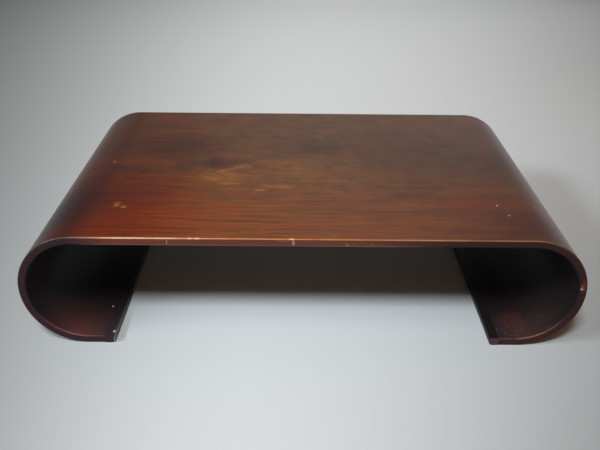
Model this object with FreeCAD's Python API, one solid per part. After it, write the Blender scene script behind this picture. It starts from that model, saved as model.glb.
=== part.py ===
import FreeCAD, Part
import os

# Low bonsai display table: a thin top whose two ends curl under and return inwards as flat feet.
# The wall is veneered on both faces over a cored top and laminated scroll ends, which meet the top
# in tongued splices. Lippings close the front and rear edges and a nosing closes each foot.
# Millimetres. +X runs along the length, +Y from the front to the rear, +Z up.
# The origin is on the floor below the middle of the top.

# Driving dimensions
LENGTH = 485.0              # over both curls
DEPTH = 320.0               # front edge to rear edge
HEIGHT = 105.0              # floor to display surface
UPPER_RADIUS = 50.0         # outside of each curl, above its widest point
FOOT_FLAT = 22.0            # from the end of the curl to the tip of the foot
WALL = 7.0                  # thickness of the top, the curls and the feet
VENEER = 1.0                # each face veneer
LIPPING_DEPTH = 4.0         # front and rear lippings, in from the edge
LIPPING_BUTT = -8.5         # where the two top lippings meet, from mid-length
SPLICE = 113.0              # from mid-length to where the top meets a scroll end
TONGUE_REACH = 12.0         # loose tongue, into each side of a splice
NOSING_LENGTH = 8.0         # foot nosing, from the tip of the foot to its shoulder
NOSING_TONGUE = 6.0         # tongue of the nosing, into the scroll end
NOSING_ROUND = 3.0          # lower edge of the nosing, where the foot meets the floor
EASED_ARRIS = 0.7           # rounding of the long exposed arrises
GLUE_LINE = 0.1             # between glued faces, and on each side of a tongue
SLOT_END = 0.3              # left free at the end of a tongue

# Fits and places that follow from them
LOWER_RADIUS = HEIGHT - UPPER_RADIUS                    # the two arcs meet at the widest point
SHOULDER_X = LENGTH / 2 - UPPER_RADIUS                  # end of the flat top
HEEL_X = LENGTH / 2 - LOWER_RADIUS                      # end of the flat foot
TIP_X = HEEL_X - FOOT_FLAT
FOOT_JOINT_X = TIP_X + NOSING_LENGTH + GLUE_LINE        # where veneers, lippings and laminae stop
CORE_FACE = VENEER + GLUE_LINE                          # depth of the core below either face
CORE = WALL - 2 * CORE_FACE
LAMINA = (CORE - 2 * GLUE_LINE) / 3
SLOT = LAMINA + 2 * GLUE_LINE                           # left where the middle lamina stops short
CORE_HALF_DEPTH = DEPTH / 2 - LIPPING_DEPTH - GLUE_LINE
SPLICE_GAP = GLUE_LINE / 2
REACH = LENGTH                                          # safely past every face, for cutting slabs


def point(x, z, y=0.0):
    return FreeCAD.Vector(x, y, z)


def slab(x_low, x_high, z_low, z_high, y_low=-REACH, y_high=REACH):
    """Block between two limits on each axis."""
    size = (x_high - x_low, y_high - y_low, z_high - z_low)
    return Part.makeBox(*size, point(x_low, z_low, y_low))


def arc(centre_x, radius, side):
    """Quarter circle about the widest point's level: side +1 from the top, -1 on to the bottom."""
    corner = radius * 0.5 ** 0.5
    ends = [point(centre_x, LOWER_RADIUS + side * radius), point(centre_x + radius, LOWER_RADIUS)]
    middle = point(centre_x + corner, LOWER_RADIUS + side * corner)
    return Part.Arc(ends[0], middle, ends[1]).toShape()


def outline(depth):
    """Right half of the scroll outline, a depth inside the outer face, from mid-length to the tip."""
    top = HEIGHT - depth
    return [
        Part.makeLine(point(0, top), point(SHOULDER_X, top)),
        arc(SHOULDER_X, UPPER_RADIUS - depth, +1),
        arc(HEEL_X, LOWER_RADIUS - depth, -1),
        Part.makeLine(point(HEEL_X, depth), point(TIP_X, depth)),
    ]


def band(outer, inner, y_low, y_high):
    """Right half of the layer of the wall between two depths, across a stretch of the table's depth."""
    ends = [
        Part.makeLine(point(0, HEIGHT - outer), point(0, HEIGHT - inner)),
        Part.makeLine(point(TIP_X, outer), point(TIP_X, inner)),
    ]
    edges = Part.__sortEdges__(outline(outer) + outline(inner) + ends)
    layer = Part.Face(Part.Wire(edges)).extrude(point(0, 0, y_high - y_low))
    return layer.translated(point(0, 0, y_low))


def without_ends(layer, top_from, foot_from):
    """Layer of a scroll end, cut off on the top and on the foot at two distances from mid-length."""
    top_end = slab(-REACH, top_from, LOWER_RADIUS, REACH)
    foot_end = slab(-REACH, foot_from, -REACH, LOWER_RADIUS)
    return layer.cut(top_end).cut(foot_end)


def mirrored(shape):
    """The same piece on the left."""
    return shape.mirror(point(0, 0), point(1, 0))


def face_veneer(outer, inner, exposed):
    """Veneer over the whole developed length, its long exposed arrises rounded."""
    right = band(outer, inner, -DEPTH / 2, DEPTH / 2)
    right = right.cut(slab(-REACH, FOOT_JOINT_X, -REACH, LOWER_RADIUS))
    veneer = right.fuse(mirrored(right)).removeSplitter()

    def on_exposed_face(vertex):
        misses = (vertex.Z - HEIGHT + exposed, vertex.Z - exposed, abs(vertex.X) - LENGTH / 2 + exposed)
        return min(abs(miss) for miss in misses) < 1e-6

    def is_long_arris(edge):
        level = abs(edge.Vertexes[0].Y - edge.Vertexes[-1].Y) < 1e-6
        return level and all(on_exposed_face(vertex) for vertex in edge.Vertexes)

    return veneer.makeFillet(EASED_ARRIS, [edge for edge in veneer.Edges if is_long_arris(edge)])


def top_core():
    """Flat board of the top, grooved at both ends for the splice tongues."""
    end = SPLICE - SPLICE_GAP
    middle = HEIGHT - WALL / 2
    board = slab(-end, end, middle - CORE / 2, middle + CORE / 2, -CORE_HALF_DEPTH, CORE_HALF_DEPTH)
    groove = slab(SPLICE - TONGUE_REACH - SLOT_END, REACH, middle - SLOT / 2, middle + SLOT / 2)
    return board.cut(groove).cut(mirrored(groove))


def splice_tongue():
    """Loose tongue across the splice, half in the top and half in the scroll end."""
    middle = HEIGHT - WALL / 2
    low, high = middle - LAMINA / 2, middle + LAMINA / 2
    return slab(SPLICE - TONGUE_REACH, SPLICE + TONGUE_REACH, low, high, -CORE_HALF_DEPTH, CORE_HALF_DEPTH)


def scroll_laminae():
    """Three bent leaves of a scroll end; the middle one stops short to leave slots for tongues."""
    leaves = {}
    for number, name in enumerate(("outer", "middle", "inner")):
        outer = CORE_FACE + number * (LAMINA + GLUE_LINE)
        layer = band(outer, outer + LAMINA, -CORE_HALF_DEPTH, CORE_HALF_DEPTH)
        top_from = SPLICE + SPLICE_GAP
        foot_from = FOOT_JOINT_X
        if name == "middle":
            top_from = SPLICE + TONGUE_REACH + SLOT_END
            foot_from = FOOT_JOINT_X + NOSING_TONGUE + SLOT_END
        leaves[name] = without_ends(layer, top_from, foot_from)
    return leaves


def foot_nosing():
    """Strip across the end of a foot, rounded below, with a tongue that enters between the laminae."""
    middle = WALL / 2
    shoulder = TIP_X + NOSING_LENGTH
    block = slab(TIP_X, shoulder, 0, WALL, -DEPTH / 2, DEPTH / 2)

    def on_tip(edge, level):
        return all(abs(v.X - TIP_X) + abs(v.Z - level) < 1e-6 for v in edge.Vertexes)

    block = block.makeFillet(EASED_ARRIS, [edge for edge in block.Edges if on_tip(edge, WALL)])
    block = block.makeFillet(NOSING_ROUND, [edge for edge in block.Edges if on_tip(edge, 0)])
    low, high = middle - LAMINA / 2, middle + LAMINA / 2
    tongue_end = FOOT_JOINT_X + NOSING_TONGUE
    tongue = slab(shoulder, tongue_end, low, high, -CORE_HALF_DEPTH, CORE_HALF_DEPTH)
    return block.fuse(tongue).removeSplitter()


def lippings(y_low, y_high):
    """Edge strips of the right half: along the top, round the upper curl, and on to the foot."""
    strip = band(CORE_FACE, WALL - CORE_FACE, y_low, y_high)
    scroll = without_ends(strip, SPLICE + SPLICE_GAP, FOOT_JOINT_X)
    widest = slab(-REACH, REACH, LOWER_RADIUS - SPLICE_GAP, REACH)
    upper = scroll.common(slab(-REACH, REACH, LOWER_RADIUS + SPLICE_GAP, REACH))
    return {"upper_scroll": upper, "lower_scroll": scroll.cut(widest)}


def top_lipping(x_low, x_high, y_low, y_high):
    """Straight edge strip along one half of the top."""
    return slab(x_low, x_high, HEIGHT - WALL + CORE_FACE, HEIGHT - CORE_FACE, y_low, y_high)


nodes = {"top_core": top_core()}
for leaf, shape in scroll_laminae().items():
    nodes["right_scroll_lamina_" + leaf] = shape
    nodes["left_scroll_lamina_" + leaf] = mirrored(shape)
nodes["right_splice_tongue"] = splice_tongue()
nodes["left_splice_tongue"] = mirrored(splice_tongue())
nodes["right_foot_nosing"] = foot_nosing()
nodes["left_foot_nosing"] = mirrored(foot_nosing())

for edge_name, y_edge, inwards in (("front", -DEPTH / 2, +1), ("rear", DEPTH / 2, -1)):
    y_low, y_high = sorted((y_edge, y_edge + inwards * LIPPING_DEPTH))
    for place, shape in lippings(y_low, y_high).items():
        nodes[edge_name + "_right_" + place + "_lipping"] = shape
        nodes[edge_name + "_left_" + place + "_lipping"] = mirrored(shape)
    end = SPLICE - SPLICE_GAP
    nodes[edge_name + "_right_top_lipping"] = top_lipping(LIPPING_BUTT + SPLICE_GAP, end, y_low, y_high)
    nodes[edge_name + "_left_top_lipping"] = top_lipping(-end, LIPPING_BUTT - SPLICE_GAP, y_low, y_high)

nodes["outer_veneer"] = face_veneer(0.0, VENEER, 0.0)
nodes["inner_veneer"] = face_veneer(WALL - VENEER, WALL, WALL)

os.makedirs("parts", exist_ok=True)
for name, shape in nodes.items():
    shape.exportStep("parts/" + name + ".step")
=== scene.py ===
import math

import bpy
import numpy as np
from mathutils import Matrix, Vector

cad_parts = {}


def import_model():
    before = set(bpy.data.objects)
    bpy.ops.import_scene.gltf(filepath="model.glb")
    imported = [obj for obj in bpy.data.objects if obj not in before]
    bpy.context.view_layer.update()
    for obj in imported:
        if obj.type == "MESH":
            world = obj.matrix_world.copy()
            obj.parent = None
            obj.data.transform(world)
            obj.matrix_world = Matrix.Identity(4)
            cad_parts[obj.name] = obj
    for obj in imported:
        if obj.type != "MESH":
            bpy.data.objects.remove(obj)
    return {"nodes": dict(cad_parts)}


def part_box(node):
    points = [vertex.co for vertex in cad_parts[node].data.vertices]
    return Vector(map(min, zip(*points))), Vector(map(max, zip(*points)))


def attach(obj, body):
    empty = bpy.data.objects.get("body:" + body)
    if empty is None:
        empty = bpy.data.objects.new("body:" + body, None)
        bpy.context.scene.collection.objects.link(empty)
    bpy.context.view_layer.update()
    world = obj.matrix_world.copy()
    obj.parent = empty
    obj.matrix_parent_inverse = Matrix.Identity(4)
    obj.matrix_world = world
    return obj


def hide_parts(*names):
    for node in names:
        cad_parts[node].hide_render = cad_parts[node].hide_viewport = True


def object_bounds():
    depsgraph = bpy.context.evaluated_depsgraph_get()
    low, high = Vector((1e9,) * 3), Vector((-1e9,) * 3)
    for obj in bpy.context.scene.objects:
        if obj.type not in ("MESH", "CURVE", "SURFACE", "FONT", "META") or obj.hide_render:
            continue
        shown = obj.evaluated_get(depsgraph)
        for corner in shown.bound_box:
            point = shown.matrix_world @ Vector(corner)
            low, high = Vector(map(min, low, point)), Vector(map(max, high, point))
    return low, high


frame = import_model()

cad_low, cad_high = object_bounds()


# Cores inside the wall: a flat basswood board in the top, three bent leaves in each scroll end and
# loose tongues in the splices. They are glued up bare, and veneers and lippings close them in,
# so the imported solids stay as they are.
CORE_DARK = "#b39465"
CORE_PALE = "#cdb487"
CORE_FIBRE_MM = (60.0, 1.2, 1.2)            # real fibres are finer: drawn coarser to show


def linear(hex_colour):
    """sRGB hex as linear RGBA: a channel c becomes ((c + 0.055) / 1.055)^2.4, or c / 12.92 if small."""
    channels = np.array([int(hex_colour[i:i + 2], 16) / 255 for i in (1, 3, 5)])
    bent = np.where(channels > 0.04045, ((channels + 0.055) / 1.055) ** 2.4, channels / 12.92)
    return (*bent.tolist(), 1.0)


def add(tree, kind, sockets=None, **settings):
    """Adds a shader node. sockets gives an input's name or number a constant, or the output to link."""
    node = tree.nodes.new("ShaderNode" + kind)
    for name, value in settings.items():
        setattr(node, name, value)
    for name, value in (sockets or {}).items():
        if isinstance(value, bpy.types.NodeSocket):
            tree.links.new(value, node.inputs[name])
        else:
            node.inputs[name].default_value = value
    return node


def new_finish(name):
    """A material with an empty node tree."""
    material = bpy.data.materials.new(name)
    material.use_nodes = True
    material.node_tree.nodes.clear()
    return material, material.node_tree


def grain(tree, place, size_mm, detail=3.0, start=0.0):
    """Noise drawn out along the wood: a cell is size_mm long, wide and deep. start shifts the pattern."""
    scale = [1000.0 / size for size in size_mm]
    cells = add(tree, "Mapping", {"Vector": place, "Location": (start, start, start), "Scale": scale})
    noise = {"Vector": cells.outputs[0], "Scale": 1.0, "Detail": detail, "Roughness": 0.65}
    return add(tree, "TexNoise", noise).outputs["Fac"]


# Bare basswood as the knife leaves it: pale, matt and even, with hardly any figure.
basswood, tree = new_finish("Bare basswood")
place = add(tree, "TexCoord").outputs["Object"]
fibre = grain(tree, place, CORE_FIBRE_MM)
tint = {0: fibre, 6: linear(CORE_DARK), 7: linear(CORE_PALE)}
tint = add(tree, "Mix", tint, data_type="RGBA").outputs[2]
surface = add(tree, "BsdfPrincipled", {"Base Color": tint, "Roughness": 0.75, "IOR": 1.45})
add(tree, "OutputMaterial", {"Surface": surface.outputs[0]})
for name, node in frame["nodes"].items():
    if name == "top_core" or "lamina" in name or "tongue" in name:
        node.data.materials.clear()
        node.data.materials.append(basswood)


# Lippings: thin strips of dark hardwood glued along the front and rear edges between the veneers, straight
# on the top and bent round the curls. Knocks have left pale marks, two of them where strips meet.
# Lengths are in metres, or in millimetres where a name ends in _MM.
LIPPING_DARK = "#471e17"
LIPPING_MID = "#7c4230"
LIPPING_RIGHT_FOOT = "#381716"
LIPPING_BRUISE = "#54291a"
LIPPING_GLOW = "#7a4a28"
LIPPING_SCAR = "#a07b66"
LIPPING_CHIP = "#cdb192"
LIPPING_FIBRE_MM = (45.0, 1.2, 1.2)         # drawn coarser than the real fibres, to show
LIPPING_CURLS = (                           # from and to along the table, and the stain there
    (-0.150, -0.205, "#23161f"),
    (0.030, 0.140, "#230f0b"),
)
CURL_SHARE = 0.9
ABOVE_WIDEST, BELOW_WIDEST = 0.065, 0.045
RIGHT_FOOT_HIGH, RIGHT_FOOT_LOW = 0.034, 0.012
RIGHT_FOOT_FROM, RIGHT_FOOT_TO = 0.10, 0.12
BUTT_X_MM = (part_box("front_left_top_lipping")[1].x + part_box("front_right_top_lipping")[0].x) * 500
SPLICE_X_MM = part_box("front_left_top_lipping")[0].x * 1000
FRONT_Y_MM = cad_low.y * 1000
LIPPING_BRUISES_MM = (((239.2, FRONT_Y_MM, 61.5), (3.4, 3.0, 8.5), 0),)
LIPPING_GLOWS_MM = (
    ((237.4, FRONT_Y_MM, 60.6), (1.6, 1.4, 3.4), 0),
    ((57.0, FRONT_Y_MM, 100.2), (2.0, 1.5, 1.6), 0),
    ((BUTT_X_MM - 8.0, FRONT_Y_MM, 103.5), (9.0, 2.0, 1.2), 0),
)
LIPPING_SCARS_MM = (
    ((BUTT_X_MM, FRONT_Y_MM, 101.3), (1.5, 2.0, 4.6), 0),
    ((SPLICE_X_MM, FRONT_Y_MM, 101.5), (0.6, 2.0, 4.5), 0),
)
LIPPING_CHIPS_MM = (
    ((36.0, FRONT_Y_MM, 98.9), (1.3, 1.0, 1.2), 0),
    ((237.6, FRONT_Y_MM, 58.6), (1.7, 1.2, 1.0), 0),
)


def spots(tree, place, marks_mm):
    """Mask of soft ellipsoids: 1 within 0.35 of the half sizes, falling smoothly to 0 at the full ones.

    Each mark is a centre, three half sizes and a turn about z in degrees.
    """
    total = 0.0
    for centre, half, turn in marks_mm:
        ball = {"Vector": place, "Rotation": (0.0, 0.0, math.radians(turn))}
        ball["Location"] = [at / 1000 for at in centre]
        ball["Scale"] = [size / 1000 for size in half]
        ball = add(tree, "Mapping", ball, vector_type="TEXTURE").outputs[0]
        reach = add(tree, "VectorMath", {0: ball}, operation="LENGTH").outputs["Value"]
        mark = {"Value": reach, "From Min": 1.0, "From Max": 0.35}
        mark = add(tree, "MapRange", mark, interpolation_type="SMOOTHSTEP").outputs[0]
        total = add(tree, "Math", {0: mark, 1: total}, operation="MAXIMUM").outputs[0]
    return total


# Hardwood strip, stained red-brown and wiped with lacquer: a dull dark edge with fine lines along it,
# near black round the curls, on which chips and scars stand out pale.
stained_strip, tree = new_finish("Stained and lacquered edge strip")
place = add(tree, "TexCoord").outputs["Object"]
fibre = grain(tree, place, LIPPING_FIBRE_MM)
tint = {0: fibre, 6: linear(LIPPING_DARK), 7: linear(LIPPING_MID)}
tint = add(tree, "Mix", tint, data_type="RGBA").outputs[2]
x, _, z = add(tree, "SeparateXYZ", {0: place}).outputs
# Below the widest point x counts double, so the strips there are dark all the way to the foot.
counted = {"Value": z, "From Min": ABOVE_WIDEST, "From Max": BELOW_WIDEST, "To Min": 1.0, "To Max": 2.0}
counted = add(tree, "MapRange", counted).outputs[0]
along = add(tree, "Math", {0: x, 1: counted}, operation="MULTIPLY").outputs[0]
for start, end, colour in LIPPING_CURLS:
    curl = {"Value": along, "From Min": start, "From Max": end, "To Max": CURL_SHARE}
    curl = add(tree, "MapRange", curl, interpolation_type="SMOOTHSTEP").outputs[0]
    tint = add(tree, "Mix", {0: curl, 6: tint, 7: linear(colour)}, data_type="RGBA").outputs[2]
foot = {"Value": z, "From Min": RIGHT_FOOT_HIGH, "From Max": RIGHT_FOOT_LOW}
foot = add(tree, "MapRange", foot, interpolation_type="SMOOTHSTEP").outputs[0]
right = {"Value": x, "From Min": RIGHT_FOOT_FROM, "From Max": RIGHT_FOOT_TO}
right = add(tree, "MapRange", right).outputs[0]
foot = add(tree, "Math", {0: foot, 1: right}, operation="MULTIPLY").outputs[0]
tint = add(tree, "Mix", {0: foot, 6: tint, 7: linear(LIPPING_RIGHT_FOOT)}, data_type="RGBA").outputs[2]
marks = (
    (LIPPING_BRUISE, LIPPING_BRUISES_MM),
    (LIPPING_GLOW, LIPPING_GLOWS_MM),
    (LIPPING_SCAR, LIPPING_SCARS_MM),
    (LIPPING_CHIP, LIPPING_CHIPS_MM),
)
for colour, marks_mm in marks:
    mark = spots(tree, place, marks_mm)
    tint = add(tree, "Mix", {0: mark, 6: tint, 7: linear(colour)}, data_type="RGBA").outputs[2]
coat = {"Base Color": tint, "Roughness": 0.5, "IOR": 1.5, "Specular IOR Level": 0.25}
surface = add(tree, "BsdfPrincipled", coat)
add(tree, "OutputMaterial", {"Surface": surface.outputs[0]})
for name, node in frame["nodes"].items():
    if name.endswith("lipping"):
        node.data.materials.clear()
        node.data.materials.append(stained_strip)


# Foot nosings: a solid strip rounded below, tongued to the end of each foot, stained and lacquered with it.
# They are greyer towards the front as painted light and darker behind as painted shade. The tip of the left
# one is rubbed there to bare wood, and painted paler low down as painted light.
NOSING_DARK = "#100b0b"
NOSING_MID = "#1f1516"
NOSING_PAINTED_LIGHT = "#34292d"
NOSING_LEFT_END = "#2c2123"
NOSING_RIGHT_END = "#4a3233"
NOSING_BARE = "#5c5b50"
NOSING_UNDERLIT = "#a0a19a"
DUST = "#b9b4ae"
NOSING_FIBRE_MM = (1.6, 60.0, 1.6)          # along the strip, drawn coarser than real to show
NOSING_SPECKS_MM = (((-167.0, -153.0, 7.0), (1.6, 2.6, 2.0), 0),)
RIGHT_SIDE, LEFT_SIDE = 0.1, -0.1           # each foot lies beyond one of these
GREY_FROM, GREY_TO = -0.095, -0.165         # y towards the front
RIGHT_GREY = 0.1
END_FROM, END_TO = -0.1590, -0.1598         # y of the front end face
TIP_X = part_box("left_foot_nosing")[1].x
TIP_FROM, TIP_TO = TIP_X - 0.0010, TIP_X - 0.0002
UNDERLIT_FROM, UNDERLIT_TO = 0.0056, 0.0040     # z down the tip, to where the painted light on its downward-facing edge is palest

# The same stain, almost black, under a thin coat: dull, greyer towards the front as painted light and darker
# further back as painted shade, pale where the wood is rubbed bare, and paler still low on the tip as painted
# light.
nosing_lacquer, tree = new_finish("Dark stained strip under thin lacquer")
place = add(tree, "TexCoord").outputs["Object"]
x, y, z = add(tree, "SeparateXYZ", {0: place}).outputs
fibre = grain(tree, place, NOSING_FIBRE_MM)
tint = {0: fibre, 6: linear(NOSING_DARK), 7: linear(NOSING_MID)}
tint = add(tree, "Mix", tint, data_type="RGBA").outputs[2]
# Painted light and shade: greyer towards the front, where the feet are lit, and more on the left foot than
# the right.
lit_forward = {"Value": y, "From Min": GREY_FROM, "From Max": GREY_TO}
lit_forward = add(tree, "MapRange", lit_forward, interpolation_type="SMOOTHSTEP").outputs[0]
painted_light = {"Value": x, "From Min": RIGHT_SIDE, "From Max": LEFT_SIDE, "To Min": RIGHT_GREY}
painted_light = add(tree, "MapRange", painted_light).outputs[0]
painted_light = add(tree, "Math", {0: painted_light, 1: lit_forward}, operation="MULTIPLY").outputs[0]
tint = add(tree, "Mix", {0: painted_light, 6: tint, 7: linear(NOSING_PAINTED_LIGHT)}, data_type="RGBA").outputs[2]
# 1 on the left foot and 0 on the right.
left = add(tree, "MapRange", {"Value": x, "From Min": 0.0, "From Max": -0.01}).outputs[0]
end = add(tree, "MapRange", {"Value": y, "From Min": END_FROM, "From Max": END_TO}).outputs[0]
cut = {0: left, 6: linear(NOSING_RIGHT_END), 7: linear(NOSING_LEFT_END)}
cut = add(tree, "Mix", cut, data_type="RGBA").outputs[2]
tint = add(tree, "Mix", {0: end, 6: tint, 7: cut}, data_type="RGBA").outputs[2]
# The bare tip fades with the painted shade towards the back; low down it is painted paler as painted light on
# its downward-facing edge.
tip = add(tree, "MapRange", {"Value": x, "From Min": TIP_FROM, "From Max": TIP_TO}).outputs[0]
tip = add(tree, "Math", {0: tip, 1: left}, operation="MULTIPLY").outputs[0]
tip = add(tree, "Math", {0: tip, 1: lit_forward}, operation="MULTIPLY").outputs[0]
underlit = add(tree, "MapRange", {"Value": z, "From Min": UNDERLIT_FROM, "From Max": UNDERLIT_TO}).outputs[0]
bare_and_underlit = {0: underlit, 6: linear(NOSING_BARE), 7: linear(NOSING_UNDERLIT)}
bare_and_underlit = add(tree, "Mix", bare_and_underlit, data_type="RGBA").outputs[2]
tint = add(tree, "Mix", {0: tip, 6: tint, 7: bare_and_underlit}, data_type="RGBA").outputs[2]
speck = spots(tree, place, NOSING_SPECKS_MM)
tint = add(tree, "Mix", {0: speck, 6: tint, 7: linear(DUST)}, data_type="RGBA").outputs[2]
coat = {"Base Color": tint, "Roughness": 0.55, "IOR": 1.5, "Specular IOR Level": 0.25}
surface = add(tree, "BsdfPrincipled", coat)
add(tree, "OutputMaterial", {"Surface": surface.outputs[0]})
for side in ("left", "right"):
    node = frame["nodes"][side + "_foot_nosing"]
    node.data.materials.clear()
    node.data.materials.append(nosing_lacquer)


# Inner veneer: one run of dark stained veneer on the hollow side, under the top, round inside both
# curls and over the feet. Its lacquer is thinner, dust lies on the feet and the front arris is worn on them.
# Light and shade are painted on the feet, and a painted reflection runs under the front of the top.
LENGTH, DEPTH, HEIGHT = cad_high - cad_low
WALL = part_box("left_foot_nosing")[1].z
UPPER_RADIUS = 0.050                        # outside of each curl, above its widest point
VENEER = 0.001
ARRIS, ARRIS_POINTS = 0.0007, 6
LOWER_RADIUS = HEIGHT - UPPER_RADIUS
SHOULDER = LENGTH / 2 - UPPER_RADIUS        # end of the flat top
HEEL = LENGTH / 2 - LOWER_RADIUS            # end of the flat foot
UPPER_END = SHOULDER + UPPER_RADIUS * math.pi / 2
LOWER_END = UPPER_END + LOWER_RADIUS * math.pi / 2
FOOT_END = LOWER_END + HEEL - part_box("front_right_lower_scroll_lipping")[0].x
INNER_STEP, INNER_STEP_ACROSS = 0.004, 0.008
INNER_DARK = "#100b0b"
INNER_MID = "#1f1516"
INNER_FOOT = "#6a302c"
INNER_WORN = "#8a5648"
INNER_RIM_REFLECTION = "#7a5440"
INNER_FIBRE_MM = (70.0, 2.6, 40.0)          # drawn coarser than the real fibres, to show
FILM_MM = (3.2, 3.2, 3.2)                   # dust is finer too, and drawn coarser to show
MOTE_MM = (2.0, 2.0, 2.0)
DUST_SPECKS_MM = (((-177.0, -113.0, 7.0), (1.1, 1.7, 3.0), 0),)
INNER_PATCH_MM = (((192.0, -142.0, 7.0), (19.0, 34.0, 9.0), 0),)
PATCH_SHARE = 0.55
FOOT_FROM, FOOT_TO = UPPER_END + 0.022, LOWER_END - 0.012
FORWARD_FROM, FORWARD_TO = -0.10, -0.16     # y towards the front
REAR_SHARE = 0.05
RIGHT_SHARE = 0.32
TIP_SHADE_FROM, TIP_SHARE = LOWER_END - 0.008, 0.3
LEFT_MOTES = 0.4
FRONT_WEAR_FROM, FRONT_WEAR_TO = -DEPTH / 2 + 0.0018, -DEPTH / 2 + 0.0004
INNER_WEAR_MM = (14.0, 30.0, 30.0)
RIM_FROM, RIM_TO = 0.120, 0.060
STRAIGHT_FROM, STRAIGHT_TO = 0.195, 0.165


def scroll(run, depth):
    """Point of the scroll outline at a run along the outer face from mid-length, a depth inside it.

    |run| goes along the flat top, round the upper arc, round the lower arc and back along the foot.
    On an arc of radius r about (cx, cz) the point is (cx + (r - depth) sin a, cz + (r - depth) cos a),
    where the angle a grows by the run over r. The left end mirrors the right.
    """
    reach = np.abs(run)
    upper = (reach - SHOULDER) / UPPER_RADIUS
    lower = math.pi / 2 + (reach - UPPER_END) / LOWER_RADIUS
    on = [reach <= SHOULDER, reach <= UPPER_END, reach <= LOWER_END]
    x_upper = SHOULDER + (UPPER_RADIUS - depth) * np.sin(upper)
    x_lower = HEEL + (LOWER_RADIUS - depth) * np.sin(lower)
    z_upper = LOWER_RADIUS + (UPPER_RADIUS - depth) * np.cos(upper)
    z_lower = LOWER_RADIUS + (LOWER_RADIUS - depth) * np.cos(lower)
    x = np.select(on, [reach, x_upper, x_lower], HEEL - (reach - LOWER_END))
    z = np.select(on, [HEIGHT - depth + 0 * reach, z_upper, z_lower], depth + 0 * reach)
    return np.copysign(x, run), z


def runs_along(step):
    """Runs from foot to foot: a mark at every join of flat and arc, and even steps between."""
    marks = [0.0, SHOULDER, UPPER_END, LOWER_END, FOOT_END]
    half = []
    for low, high in zip(marks, marks[1:]):
        half.append(np.linspace(low, high, max(2, round((high - low) / step)), endpoint=False))
    half = np.concatenate(half + [[FOOT_END]])
    return np.concatenate([-half[:0:-1], half])


def section(shown, hidden, step):
    """Closed section of a veneer as (y, depth): the shown face, then the two corners of the hidden one.

    The shown face ends in quarter rounds of radius ARRIS, y = +-(half + ARRIS sin a) and
    depth = shown +- ARRIS (1 - cos a), and is flat between them.
    """
    turn = np.linspace(0, math.pi / 2, ARRIS_POINTS)
    side = np.copysign(ARRIS, hidden - shown)
    half = DEPTH / 2 - ARRIS
    face = np.linspace(-half, half, round(2 * half / step))[1:-1]
    corners = [DEPTH / 2, -DEPTH / 2]
    y = np.concatenate([-half - ARRIS * np.cos(turn), face, half + ARRIS * np.sin(turn), corners])
    bend = np.concatenate([1 - np.sin(turn), 0 * face, 1 - np.cos(turn)])
    return y, np.concatenate([shown + side * bend, [hidden, hidden]])


def swept(name, runs, y, depth):
    """Mesh of a closed section carried along the scroll: grid point (i, j) is section point j at run i."""
    run, depth_grid = np.meshgrid(runs, depth, indexing="ij")
    x, z = scroll(run, depth_grid)
    points = np.stack([x, np.broadcast_to(y, run.shape), z], axis=-1).reshape(-1, 3)
    rows, columns = run.shape
    i, j = np.meshgrid(np.arange(rows - 1), np.arange(columns), indexing="ij")
    here, after = i * columns + j, i * columns + (j + 1) % columns
    quads = np.stack([here, after, after + columns, here + columns], -1)
    ends = [list(range(columns)), list(range((rows - 1) * columns, rows * columns))[::-1]]
    if depth[-1] < depth[len(depth) // 2]:
        quads, ends = quads[..., ::-1], [end[::-1] for end in ends]
    faces = quads[..., ::-1].reshape(-1, 4).tolist() + ends
    mesh = bpy.data.meshes.new(name)
    mesh.from_pydata(points.tolist(), [], faces)
    mesh.polygons.foreach_set("use_smooth", [True] * len(faces))
    mesh.set_sharp_from_angle(angle=math.radians(40))
    piece = bpy.data.objects.new(name, mesh)
    bpy.context.scene.collection.objects.link(piece)
    return piece, run.reshape(-1), points[:, 1]


def store(piece, name, *columns):
    """Keeps three values for each vertex in a named attribute, for the finish to read."""
    values = np.stack(columns, axis=-1).astype(np.float32)
    attribute = piece.data.attributes.new(name, "FLOAT_VECTOR", "POINT")
    attribute.data.foreach_set("vector", values.reshape(-1))


inner_section = section(WALL, WALL - VENEER, INNER_STEP_ACROSS)
inner_veneer, run, across = swept("inner_veneer_skin", runs_along(INNER_STEP), *inner_section)
store(inner_veneer, "grain", run, across, 0 * run)

# Veneer stained almost black under one thin coat: dull and dark below the top. Near the front the feet are
# painted red-brown where the coat is thinnest, as painted light, fading into painted shade further back; a
# film of dust lies on them.
inside_lacquer, tree = new_finish("Dark stained veneer under thin lacquer")
wood = add(tree, "Attribute", attribute_name="grain").outputs["Vector"]
place = add(tree, "TexCoord").outputs["Object"]
along, y, _ = add(tree, "SeparateXYZ", {0: wood}).outputs
fibre = grain(tree, wood, INNER_FIBRE_MM)
tint = {0: fibre, 6: linear(INNER_DARK), 7: linear(INNER_MID)}
tint = add(tree, "Mix", tint, data_type="RGBA").outputs[2]

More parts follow.
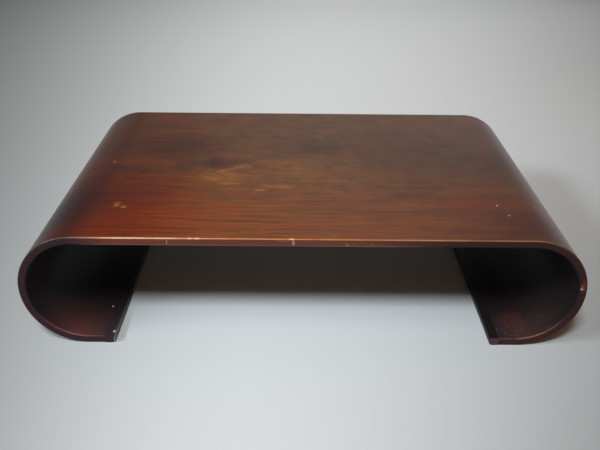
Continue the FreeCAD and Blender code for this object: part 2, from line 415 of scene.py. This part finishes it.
# The thin coat on the feet shows more on the left foot and less towards the tip. It is painted light and
# shade too:
# it shows only near the front, where the feet are lit, and fades into painted shade further back under the
# top.
far = add(tree, "Math", {0: along}, operation="ABSOLUTE").outputs[0]
foot = {"Value": far, "From Min": FOOT_FROM, "From Max": FOOT_TO}
foot = add(tree, "MapRange", foot, interpolation_type="SMOOTHSTEP").outputs[0]
lit_forward = {"Value": y, "From Min": FORWARD_FROM, "From Max": FORWARD_TO, "To Min": REAR_SHARE}
lit_forward = add(tree, "MapRange", lit_forward, interpolation_type="SMOOTHSTEP").outputs[0]
lit_foot = add(tree, "Math", {0: foot, 1: lit_forward}, operation="MULTIPLY").outputs[0]
to_tip = {"Value": far, "From Min": TIP_SHADE_FROM, "From Max": FOOT_END, "To Min": 1.0, "To Max": TIP_SHARE}
to_tip = add(tree, "MapRange", to_tip).outputs[0]
thin_coat_and_light = {"Value": along, "From Min": RIGHT_SIDE, "From Max": LEFT_SIDE, "To Min": RIGHT_SHARE}
thin_coat_and_light = add(tree, "MapRange", thin_coat_and_light).outputs[0]
for share in (lit_foot, to_tip, fibre):
    thin_coat_and_light = add(tree, "Math", {0: thin_coat_and_light, 1: share}, operation="MULTIPLY").outputs[0]
patch = spots(tree, place, INNER_PATCH_MM)
for share in (fibre, PATCH_SHARE):
    patch = add(tree, "Math", {0: patch, 1: share}, operation="MULTIPLY").outputs[0]
thin_coat_and_light = add(tree, "Math", {0: thin_coat_and_light, 1: patch}, operation="MAXIMUM").outputs[0]
tint = add(tree, "Mix", {0: thin_coat_and_light, 6: tint, 7: linear(INNER_FOOT)}, data_type="RGBA").outputs[2]

# Dust on the feet: a faint uneven film, and motes that lie thicker on the right. Both fade out further back
# with the painted shade.
lit_dust_film = {"Value": grain(tree, place, FILM_MM, detail=1.0), "From Min": 0.66, "From Max": 0.78}
lit_dust_film = add(tree, "MapRange", {**lit_dust_film, "To Min": 0.03, "To Max": 0.16}).outputs[0]
lit_dust_film = add(tree, "Math", {0: lit_dust_film, 1: lit_foot}, operation="MULTIPLY").outputs[0]
tint = add(tree, "Mix", {0: lit_dust_film, 6: tint, 7: linear(DUST)}, data_type="RGBA").outputs[2]
lit_motes = {"Value": grain(tree, place, MOTE_MM, detail=1.0, start=9.0), "From Min": 0.68, "From Max": 0.82}
lit_motes = add(tree, "MapRange", {**lit_motes, "To Max": 0.3}).outputs[0]
right = {"Value": along, "From Min": 0.0, "From Max": RIGHT_SIDE, "To Min": LEFT_MOTES}
right = add(tree, "MapRange", right).outputs[0]
for share in (lit_foot, right):
    lit_motes = add(tree, "Math", {0: lit_motes, 1: share}, operation="MULTIPLY").outputs[0]
tint = add(tree, "Mix", {0: lit_motes, 6: tint, 7: linear(DUST)}, data_type="RGBA").outputs[2]

# Wear along the front arris, in patches on the feet. Along the front arris under the straight of the top, a
# paler line is a painted reflection of the floor.
front = {"Value": y, "From Min": FRONT_WEAR_FROM, "From Max": FRONT_WEAR_TO}
front = add(tree, "MapRange", front, interpolation_type="SMOOTHSTEP").outputs[0]
worn = {"Value": grain(tree, wood, INNER_WEAR_MM, start=5.0), "From Min": 0.38, "From Max": 0.60}
worn = add(tree, "MapRange", {**worn, "To Min": 0.1, "To Max": 0.75}).outputs[0]
for share in (front, foot, to_tip):
    worn = add(tree, "Math", {0: worn, 1: share}, operation="MULTIPLY").outputs[0]
tint = add(tree, "Mix", {0: worn, 6: tint, 7: linear(INNER_WORN)}, data_type="RGBA").outputs[2]
rim_reflection = {"Value": along, "From Min": RIM_FROM, "From Max": RIM_TO}
rim_reflection = add(tree, "MapRange", rim_reflection, interpolation_type="SMOOTHSTEP").outputs[0]
straight = {"Value": far, "From Min": STRAIGHT_FROM, "From Max": STRAIGHT_TO}
straight = add(tree, "MapRange", straight, interpolation_type="SMOOTHSTEP").outputs[0]
for share in (front, straight):
    rim_reflection = add(tree, "Math", {0: rim_reflection, 1: share}, operation="MULTIPLY").outputs[0]
tint = add(tree, "Mix", {0: rim_reflection, 6: tint, 7: linear(INNER_RIM_REFLECTION)}, data_type="RGBA").outputs[2]
specks = spots(tree, place, DUST_SPECKS_MM)
tint = add(tree, "Mix", {0: specks, 6: tint, 7: linear(DUST)}, data_type="RGBA").outputs[2]
coat = {"Base Color": tint, "Roughness": 0.55, "IOR": 1.5, "Specular IOR Level": 0.25}
surface = add(tree, "BsdfPrincipled", coat)
add(tree, "OutputMaterial", {"Surface": surface.outputs[0]})
inner_veneer.data.materials.append(inside_lacquer)
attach(inner_veneer, "root")
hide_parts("inner_veneer")


# Outer veneer: one leaf of figured red-brown veneer from foot to foot, over the top and round both
# curls, with its grain along the table. It is stained, lacquered and worn pale along the arrises.
OUTER_STEP = 0.003
FIGURE_X, FIGURE_Y = -0.088, -0.003
FIGURE_WIDTH, FIGURE_TURN = 0.045, 0.014
OUTER_DARK = "#431f15"
OUTER_MID = "#864c2a"
OUTER_OLIVE = "#765628"
OUTER_RED = "#a64815"
OUTER_AMBER = "#a85c14"
OUTER_GOLD = "#b4742a"
OUTER_STAIN = "#ffb848"
OUTER_SHADE = "#2c1613"
CURL_EDGE = "#1c1417"
WORN_ORANGE = "#b56a2c"
WORN_TAN = "#e0bb95"
WORN_DULL = "#a0764f"
WORN_THIN = "#b4743a"
DENT_PINK = "#a98a80"
CHIP_TAN = "#d7a579"
OUTER_FIBRE_MM = (70.0, 2.6, 30.0)          # fibres and flecks are drawn coarser than real, to show
OUTER_FLECK_MM = (45.0, 1.8, 30.0)
OUTER_BAND_MM = (180.0, 9.0, 40.0)
OUTER_MOTTLE_MM = (20.0, 400.0, 17.0)
OUTER_CAST_MM = (34.0, 11.0, 30.0)
OUTER_AMBER_MM = (90.0, 7.0, 40.0)
OUTER_WEAR_MM = (16.0, 40.0, 40.0)
BAND_SHARE, FLECK_SHARE = 0.4, 0.4
MOTTLE_SHARE, RED_MOTTLE_SHARE = 0.65, 0.15
GOLD_FEATHER_MM, GOLD_REACH_MM = 1000.0 / 70.0, (6.0, 3.0, 0.0)
RUB_FRAY_MM, RUB_REACH_MM = 3.0, (5.0, 6.0, 0.0)
OUTER_GOLDS_MM = (
    ((-89.0, -37.0, 105.0), (17.0, 6.5, 20.0), -28),
    ((-70.0, -12.0, 105.0), (28.0, 6.5, 20.0), 37),
    ((-57.5, -7.0, 105.0), (8.0, 7.0, 20.0), 0),
    ((-69.0, -48.0, 105.0), (18.0, 4.0, 20.0), 2),
    ((-23.0, -55.0, 105.0), (23.0, 5.0, 20.0), -2),
    ((-40.0, -63.0, 105.0), (11.0, 4.0, 20.0), 0),
)
OUTER_RUBS_MM = (
    ((-190.5, 3.0, 105.0), (1.5, 5.0, 4.0), 0),
    ((-174.5, -39.0, 105.0), (4.5, 2.4, 4.0), 0),
    ((-167.0, -96.0, 105.0), (4.6, 6.0, 4.0), 0),
    ((-160.0, -101.0, 105.0), (3.6, 4.0, 4.0), 0),
)
OUTER_DENTS_MM = (
    ((181.0, -113.0, 105.0), (1.6, 2.0, 3.0), 0),
    ((211.0, -88.5, 101.0), (1.2, 1.6, 4.0), 0),
)
OUTER_CHIPS_MM = (
    ((174.8, -93.0, 105.0), (1.4, 1.9, 3.0), 0),
    ((-140.0, -160.0, 104.5), (3.0, 2.4, 2.0), 0),
    ((-94.0, -160.0, 104.5), (2.4, 2.0, 2.0), 0),
    ((-88.0, -160.0, 104.5), (3.0, 2.0, 2.0), 0),
    ((-10.0, -160.0, 104.6), (3.2, 2.0, 1.6), 0),
)
# Soft patches of tone: height, centre, and half sizes along the table and across it.
GOLD_PATCHES = (
    (0.7, (-0.080, -0.031), (0.026, 0.013)),
    (0.4, (-0.005, -0.020), (0.060, 0.045)),
)
SHADE_PATCHES = (
    (0.90, (-0.084, 0.000), (0.022, 0.011)),
    (0.70, (-0.125, 0.050), (0.040, 0.030)),
    (0.60, (0.015, 0.045), (0.040, 0.020)),
    (0.50, (0.130, 0.030), (0.080, 0.070)),
    (0.85, (0.200, -0.140), (0.080, 0.050)),
    (0.45, (0.200, -0.020), (0.050, 0.090)),
    (0.24, (-0.165, -0.088), (0.045, 0.028)),
)
DEEP_PATCHES = ((0.45, (-0.228, -0.100), (0.050, 0.065)),)
RED_PATCHES = ((0.3, (0.165, -0.070), (0.045, 0.050)),)
STAIN_PATCHES = ((0.6, (0.165, -0.090), (0.045, 0.040)),)
# Soft steps of tone, along the table or, for the strips, across it: where each is half way, and its width.
LEFT_END, LEFT_CURL = (-0.118, 0.016), (-0.192, 0.006)
RED_END, STAIN_END = (-0.020, 0.050), (-0.112, 0.012)
FRONT_STRIP, STAIN_STRIP = (-0.075, 0.020), (-0.025, 0.015)
CURLED_ARRIS = (-0.215, 0.008)
LEFT_SHADE, LEFT_STRIP_LIFT, LEFT_CURL_SHADE = 0.75, 0.25, 0.7
RED_ALL, RED_LEFT, RED_BEHIND = 0.35, 0.65, 0.6
SHADE_SHARE = 0.7
WEAR_FROM, WEAR_TO = DEPTH / 2 - 0.0014, DEPTH / 2 - 0.0002
DARK_ARRISES = (                            # from and to along the table, and the share of wear lost
    (-0.150, -0.205, 0.95),
    (0.100, 0.150, 0.45),
    (0.195, 0.238, 1.0),
)
TAN_FROM, TAN_TO = -0.05, -0.15
DULL_FROM, DULL_TO = 0.0, 0.08


def mounds(along, across, patches):
    """Sum of smooth bumps h exp(-(dx / a)^2 - (dy / b)^2), each about its own centre."""
    total = 0 * along
    for height, centre, half in patches:
        off = ((along - centre[0]) / half[0], (across - centre[1]) / half[1])
        total = total + height * np.exp(-off[0] ** 2 - off[1] ** 2)
    return total


def before(value, edge, width):
    """Soft step 1 / (1 + e^((value - edge) / width)): 1 well before the edge and 0 well past it."""
    return 1 / (1 + np.exp((value - edge) / width))


def strayed(tree, place, cell_mm, reach_mm):
    """Place shifted by coloured noise n of one cell size, by (2 n - 1) times the reach on each axis."""
    noise = add(tree, "TexNoise", {"Vector": place, "Scale": 1000.0 / cell_mm}).outputs["Color"]
    reach = [size / 1000 for size in reach_mm]
    shifted = {0: noise, 1: [2 * size for size in reach], 2: place}
    shifted = add(tree, "VectorMath", shifted, operation="MULTIPLY_ADD").outputs[0]
    return add(tree, "VectorMath", {0: shifted, 1: reach}, operation="SUBTRACT").outputs[0]


outer_section = section(0.0, VENEER, OUTER_STEP)
outer_veneer, run, across = swept("outer_veneer_leaf", runs_along(OUTER_STEP), *outer_section)
# Growth rings of a flat-sawn leaf: (|y / b|^3 + 1 / (1 + e^(x / w)))^(1/3) has nested U-shaped levels.
off_y = across - FIGURE_Y
ring = (np.abs(off_y / FIGURE_WIDTH) ** 3 + before(run, FIGURE_X, FIGURE_TURN)) ** (1 / 3)
store(outer_veneer, "grain", run, FIGURE_WIDTH * ring, off_y)
left = before(run, *LEFT_END)
front = before(across, *FRONT_STRIP)
gold = mounds(run, across, GOLD_PATCHES)
shade = mounds(run, across, SHADE_PATCHES) + left * (LEFT_SHADE - LEFT_STRIP_LIFT * front)
shade += LEFT_CURL_SHADE * before(run, *LEFT_CURL)
shade += (np.abs(across) > DEPTH / 2 - ARRIS) * before(-np.abs(run), *CURLED_ARRIS)
shade = np.clip(shade, 0, 1) + mounds(run, across, DEEP_PATCHES)
red = front * (RED_ALL + RED_LEFT * before(run, *RED_END)) + RED_BEHIND * left * (1 - front)
red += mounds(run, across, RED_PATCHES)
store(outer_veneer, "tone", np.clip(gold, 0, 1), shade, np.clip(red, 0, 1))
stain = before(run, *STAIN_END) * before(across, *STAIN_STRIP) + mounds(run, across, STAIN_PATCHES)
store(outer_veneer, "stain", np.clip(stain, 0, 1), 0 * run, 0 * run)

# Flat-sawn veneer, stained red-brown and rubbed to a semi-gloss: long soft reflections over a deep
# figure of streaks and mottle, bare pale wood where the coat is worn or chipped, and a faint haze at
# low angles from a thin film of dust, which is the sheen.
lacquer, tree = new_finish("Figured veneer under worn semi-gloss lacquer")
wood = add(tree, "Attribute", attribute_name="grain").outputs["Vector"]
tone = add(tree, "Attribute", attribute_name="tone").outputs["Vector"]
golden, shaded, reddened = add(tree, "SeparateXYZ", {0: tone}).outputs
place = add(tree, "TexCoord").outputs["Object"]

# The figure: streaks along the growth rings, crossed by a mottle that is weaker where the leaf is red.
fibre = grain(tree, wood, OUTER_FIBRE_MM)
band = grain(tree, wood, OUTER_BAND_MM, start=3.0)
fleck = grain(tree, wood, OUTER_FLECK_MM, start=11.0)
mottle = grain(tree, wood, OUTER_MOTTLE_MM, detail=5.0, start=7.0)
mottle = add(tree, "MapRange", {"Value": mottle, "From Min": 0.25, "From Max": 0.75}).outputs[0]
streak = add(tree, "Mix", {0: BAND_SHARE, 2: fibre, 3: band}).outputs[0]
streak = add(tree, "Mix", {0: FLECK_SHARE, 2: streak, 3: fleck}).outputs[0]
streak = add(tree, "MapRange", {"Value": streak, "From Min": 0.38, "From Max": 0.62}).outputs[0]
share = {"Value": reddened, "To Min": MOTTLE_SHARE, "To Max": RED_MOTTLE_SHARE}
share = add(tree, "MapRange", share).outputs[0]
figure = add(tree, "Mix", {0: share, 2: streak, 3: mottle}).outputs[0]
cast = {"Value": grain(tree, wood, OUTER_CAST_MM, start=23.0), "From Min": 0.40, "From Max": 0.60}
cast = add(tree, "MapRange", cast).outputs[0]
tint = {0: cast, 6: linear(OUTER_MID), 7: linear(OUTER_OLIVE)}
tint = add(tree, "Mix", tint, data_type="RGBA").outputs[2]
tint = add(tree, "Mix", {0: figure, 6: linear(OUTER_DARK), 7: tint}, data_type="RGBA").outputs[2]

# Red and amber in the streaks, gold by the eye of the figure, the soaked-in stain, and the dark patches.
amber = {"Value": grain(tree, wood, OUTER_AMBER_MM, start=17.0), "From Min": 0.45, "From Max": 0.62}
amber = add(tree, "MapRange", amber).outputs[0]
warm = {0: amber, 6: linear(OUTER_RED), 7: linear(OUTER_AMBER)}
warm = add(tree, "Mix", warm, data_type="RGBA").outputs[2]
lit = add(tree, "Math", {0: reddened, 1: streak}, operation="MULTIPLY").outputs[0]
tint = add(tree, "Mix", {0: lit, 6: tint, 7: warm}, data_type="RGBA").outputs[2]
feathered = strayed(tree, place, GOLD_FEATHER_MM, GOLD_REACH_MM)
lit = {0: spots(tree, feathered, OUTER_GOLDS_MM), 1: golden}
lit = add(tree, "Math", lit, operation="MAXIMUM").outputs[0]
lit = add(tree, "Math", {0: figure, 1: lit}, operation="MULTIPLY").outputs[0]
tint = add(tree, "Mix", {0: lit, 6: tint, 7: linear(OUTER_GOLD)}, data_type="RGBA").outputs[2]
soaked = add(tree, "Attribute", attribute_name="stain").outputs["Vector"]
soaked = add(tree, "SeparateXYZ", {0: soaked}).outputs[0]
soaked = {0: soaked, 6: tint, 7: linear(OUTER_STAIN)}
tint = add(tree, "Mix", soaked, data_type="RGBA", blend_type="MULTIPLY").outputs[2]
dim = add(tree, "Math", {0: shaded, 1: SHADE_SHARE}, operation="MULTIPLY").outputs[0]
tint = add(tree, "Mix", {0: dim, 6: tint, 7: linear(OUTER_SHADE)}, data_type="RGBA").outputs[2]

# Wear along the front and rear arrises: dark stain is left round the curls, bare wood between them.
x, y, _ = add(tree, "SeparateXYZ", {0: place}).outputs
edge = add(tree, "Math", {0: y}, operation="ABSOLUTE").outputs[0]
worn = {"Value": edge, "From Min": WEAR_FROM, "From Max": WEAR_TO}
worn = add(tree, "MapRange", worn, interpolation_type="SMOOTHSTEP").outputs[0]
along = add(tree, "SeparateXYZ", {0: wood}).outputs[0]
for start, end, share in DARK_ARRISES:
    past = {"Value": along, "From Min": start, "From Max": end, "To Max": share}
    past = add(tree, "MapRange", past, interpolation_type="SMOOTHSTEP").outputs[0]
    dark = add(tree, "Math", {0: worn, 1: past}, operation="MULTIPLY").outputs[0]
    tint = add(tree, "Mix", {0: dark, 6: tint, 7: linear(CURL_EDGE)}, data_type="RGBA").outputs[2]
    worn = add(tree, "Math", {0: worn, 1: dark}, operation="SUBTRACT").outputs[0]
patchy = {"Value": grain(tree, place, OUTER_WEAR_MM, start=2.0), "From Min": 0.25, "From Max": 0.55}
patchy = add(tree, "MapRange", {**patchy, "To Min": 0.35}).outputs[0]
worn = add(tree, "Math", {0: worn, 1: patchy}, operation="MULTIPLY").outputs[0]
tan = {"Value": x, "From Min": TAN_FROM, "From Max": TAN_TO}
tan = add(tree, "MapRange", tan, interpolation_type="SMOOTHSTEP").outputs[0]
pale = {0: tan, 6: linear(WORN_ORANGE), 7: linear(WORN_TAN)}
pale = add(tree, "Mix", pale, data_type="RGBA").outputs[2]
dull = {"Value": x, "From Min": DULL_FROM, "From Max": DULL_TO}
dull = add(tree, "MapRange", dull, interpolation_type="SMOOTHSTEP").outputs[0]
pale = add(tree, "Mix", {0: dull, 6: pale, 7: linear(WORN_DULL)}, data_type="RGBA").outputs[2]
tint = add(tree, "Mix", {0: worn, 6: tint, 7: pale}, data_type="RGBA").outputs[2]

# Rubs, dents and chips, then the pores, which lie between the fibres as shallow grooves.
frayed = strayed(tree, place, RUB_FRAY_MM, RUB_REACH_MM)
rubbed = {0: spots(tree, frayed, OUTER_RUBS_MM), 1: streak}
rubbed = add(tree, "Math", rubbed, operation="MULTIPLY").outputs[0]
tint = add(tree, "Mix", {0: rubbed, 6: tint, 7: linear(WORN_THIN)}, data_type="RGBA").outputs[2]
for colour, marks_mm in ((DENT_PINK, OUTER_DENTS_MM), (CHIP_TAN, OUTER_CHIPS_MM)):
    mark = spots(tree, place, marks_mm)
    tint = add(tree, "Mix", {0: mark, 6: tint, 7: linear(colour)}, data_type="RGBA").outputs[2]
pores = add(tree, "Bump", {"Height": fibre, "Strength": 0.08, "Distance": 0.0004}).outputs[0]
coat = {"Base Color": tint, "Roughness": 0.28, "IOR": 1.5, "Normal": pores}
coat = {**coat, "Sheen Weight": 0.2, "Sheen Roughness": 0.25}
surface = add(tree, "BsdfPrincipled", coat)
add(tree, "OutputMaterial", {"Surface": surface.outputs[0]})
outer_veneer.data.materials.append(lacquer)
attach(outer_veneer, "root")
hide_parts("outer_veneer")


# Studio: a pale seamless sheet of paper under and behind the table, with a pool of light and shade towards
# its sides and up its wall painted into its tone. A lamp over the camera and a window on the left light it, a
# third lamp lights the backdrop, and two pale walls behind and the dim room fill in. The camera stands where
# the photograph was taken.
SHEET = "#e9eeed"
SHEET_REACH = 2.0
SHEET_FRONT, SHEET_BACK, SHEET_TOP = -2.0, 1.7, 2.2
SHEET_BEND = 0.5
ACROSS_POINTS, FLOOR_POINTS, BEND_POINTS = 81, 59, 16
# The pool of light on the floor and the shade towards its sides and up the wall are painted into the sheet's
# tone; the far left is painted darker still.
POOL_LEVEL, POOL_RISE, POOL_FALL = 0.03, 0.33, 0.215
POOL_NEAR, POOL_FAR = -0.6, 1.4
POOL_SHIFT, POOL_LEAN, POOL_EYE = 0.0174, 0.0806, 1.013
POOL_LEFT, POOL_RIGHT, POOL_SWELL = 0.335, 0.43, 0.12
SWELL_Y, SWELL_HALF = 0.25, 0.4
FRAME_SIDE, FRAME_FRONT = 0.42, -0.32
FADE_SIDE, FADE_FRONT = 0.15, 0.20
OUTSIDE_LEFT, OUTSIDE_RIGHT = 0.35, 0.85
OUTSIDE_STEP = (-0.35, 0.12)
BACK_TONE, BACK_DIMS, BACK_X = 0.81, 0.7, 0.25
BACK_RIGHT, BACK_LEFT, BACK_NARROWS, BACK_LEAST = 1.3, 1.25, 0.62, 0.4


def backdrop(name):
    """Sheet whose point (i, j) is across[i] at step j of its path: floor, quarter round, then wall.

    The floor's tone is a painted pool of light, exp(LEVEL + RISE y - FALL y^2 - (u / w)^2), with u = (x +
    SHIFT - LEAN y) / (y + EYE), so it opens with distance and falls off as painted shade to the sides. The
    width w is POOL_LEFT on the left, and on the right
    POOL_RIGHT + POOL_SWELL exp(-((y - SWELL_Y) / SWELL_HALF)^2). Here y is held between POOL_NEAR and
    POOL_FAR, and u within FRAME_SIDE. Past FRAME_SIDE or FRAME_FRONT the tone goes, as 3 t^2 - 2 t^3, to a
    painted shade that steps up from left to right, darkest on the left, where the table reflects it. The
    wall's tone is painted shade,
    BACK_TONE exp(-DIMS z - ((x - BACK_X) / v)^2), where the width v shrinks with height on the left, and the
    quarter round leads to it by its own height.
    """
    turn = np.linspace(0, math.pi / 2, BEND_POINTS)
    floor = np.linspace(SHEET_FRONT, SHEET_BACK, FLOOR_POINTS + 1)[:-1]
    path_y = np.concatenate([floor, SHEET_BACK + SHEET_BEND * np.sin(turn), [SHEET_BACK + SHEET_BEND]])
    path_z = np.concatenate([0 * floor, SHEET_BEND * (1 - np.cos(turn)), [SHEET_TOP]])
    across = np.linspace(-SHEET_REACH, SHEET_REACH, ACROSS_POINTS)
    x, y = np.meshgrid(across, path_y, indexing="ij")
    z = np.broadcast_to(path_z, x.shape)
    rows, columns = x.shape
    i, j = np.meshgrid(np.arange(rows - 1), np.arange(columns - 1), indexing="ij")
    corner = i * columns + j
    quads = np.stack([corner, corner + columns, corner + columns + 1, corner + 1], -1)
    mesh = bpy.data.meshes.new(name)
    mesh.from_pydata(np.stack([x, y, z], -1).reshape(-1, 3).tolist(), [], quads.reshape(-1, 4).tolist())
    mesh.polygons.foreach_set("use_smooth", [True] * (rows - 1) * (columns - 1))
    held = np.clip(y, POOL_NEAR, POOL_FAR)
    u = (x + POOL_SHIFT - POOL_LEAN * held) / (held + POOL_EYE)
    right = POOL_RIGHT + POOL_SWELL * np.exp(-((held - SWELL_Y) / SWELL_HALF) ** 2)
    beside = u.clip(-FRAME_SIDE, FRAME_SIDE) / np.where(u < 0, POOL_LEFT, right)
    tone = np.exp(POOL_LEVEL + POOL_RISE * held - POOL_FALL * held ** 2 - beside ** 2)
    out = np.maximum((np.abs(u) - FRAME_SIDE) / FADE_SIDE, (FRAME_FRONT - y) / FADE_FRONT).clip(0, 1)
    out = out * out * (3 - 2 * out)
    outside = OUTSIDE_RIGHT + (OUTSIDE_LEFT - OUTSIDE_RIGHT) * before(x, *OUTSIDE_STEP)
    tone = tone * (1 - out) + outside * out
    rise = np.clip(z / SHEET_BEND, 0, 1)
    width = np.where(x < BACK_X, np.maximum(BACK_LEFT - BACK_NARROWS * z, BACK_LEAST), BACK_RIGHT)
    back = BACK_TONE * np.exp(-BACK_DIMS * z - ((x - BACK_X) / width) ** 2)
    tone = tone * (1 - rise) + back * rise
    sheet = bpy.data.objects.new(name, mesh)
    bpy.context.scene.collection.objects.link(sheet)
    store(sheet, "tone", *(tone.reshape(-1) * channel for channel in linear(SHEET)[:3]))
    return sheet


sheet = backdrop("paper_sheet")
# Uncoated paper: matt, with no highlight. Its tone carries a painted pool of light and painted shade, and the
# lamps add the table's shadows on it.
paper, tree = new_finish("Matt pale paper")
tone = add(tree, "Attribute", attribute_name="tone").outputs["Color"]
surface = add(tree, "BsdfPrincipled", {"Base Color": tone, "Roughness": 0.9})
add(tree, "OutputMaterial", {"Surface": surface.outputs[0]})
sheet.data.materials.append(paper)

DAYLIGHT, PALE_WALL = "#f0f8ff", "#dfeaff"
LAMPS = (                                   # name, stand, target, width and height, watts, colour
    ("window_on_the_left", (-1.85, -0.95, 1.55), (0.0, 0.0, 0.05), (1.0, 0.4), 29.3, DAYLIGHT),
    ("lamp_over_the_camera", (-0.28, -1.40, 1.82), (0.0, 0.2, 0.05), (0.46, 0.40), 33.0, DAYLIGHT),
    ("pale_wall_on_the_left", (-1.05, 1.35, 0.45), (-0.20, 0.0, 0.10), (1.0, 0.6), 0.17, PALE_WALL),
    ("pale_wall_on_the_right", (0.90, 1.35, 0.45), (0.20, 0.0, 0.10), (1.0, 0.6), 0.21, PALE_WALL),
    ("lamp_on_the_backdrop", (0.15, 0.80, 1.60), (0.15, 2.20, 1.00), (0.8, 0.3), 9.0, DAYLIGHT),
)
for name, stand, target, size, watts, colour in LAMPS:
    lamp = bpy.data.lights.new(name, "AREA")
    lamp.shape = "RECTANGLE"
    lamp.size, lamp.size_y = size
    lamp.energy = watts
    lamp.color = linear(colour)[:3]
    holder = bpy.data.objects.new(name, lamp)
    bpy.context.scene.collection.objects.link(holder)
    holder.location = stand
    holder.rotation_euler = (Vector(target) - Vector(stand)).to_track_quat("-Z", "Y").to_euler()

# The room lights the table dimly and warm. Seen directly or in a reflection it is pale grey.
ROOM_LIGHT, ROOM_STRENGTH = "#ac7f58", 0.38
ROOM_SEEN = "#aeb4b6"
world = bpy.data.worlds.new("Studio")
bpy.context.scene.world = world
world.use_nodes = True
tree = world.node_tree
tree.nodes.clear()
ray = add(tree, "LightPath").outputs
seen = {0: ray["Is Camera Ray"], 1: ray["Is Glossy Ray"]}
seen = add(tree, "Math", seen, operation="MAXIMUM").outputs[0]
seen = {0: seen, 1: ray["Is Transmission Ray"]}
seen = add(tree, "Math", seen, operation="MAXIMUM").outputs[0]
room = {0: seen, 6: [ROOM_STRENGTH * channel for channel in linear(ROOM_LIGHT)], 7: linear(ROOM_SEEN)}
room = add(tree, "Mix", room, data_type="RGBA").outputs[2]
sky = add(tree, "Background", {"Color": room})
add(tree, "OutputWorld", {"Surface": sky.outputs[0]})

CAMERA_PLACE = (-0.00688, -0.70184, 0.39557)
CAMERA_YAW, CAMERA_PITCH, CAMERA_ROLL = 0.384, 27.117, 0.642
FOCAL_PIXELS, PICTURE_WIDTH = 747.9, 600
camera = bpy.data.cameras.new("photo_camera")
camera.sensor_width = 36.0
camera.lens = FOCAL_PIXELS / PICTURE_WIDTH * camera.sensor_width
viewpoint = bpy.data.objects.new("photo_camera", camera)
bpy.context.scene.collection.objects.link(viewpoint)
stand = Matrix.Translation(CAMERA_PLACE)
for angle, axis in ((-CAMERA_YAW, "Z"), (90 - CAMERA_PITCH, "X"), (CAMERA_ROLL, "Z")):
    stand = stand @ Matrix.Rotation(math.radians(angle), 4, axis)
viewpoint.matrix_world = stand
bpy.context.scene.camera = viewpoint
bpy.context.scene.view_settings.view_transform = "Standard"
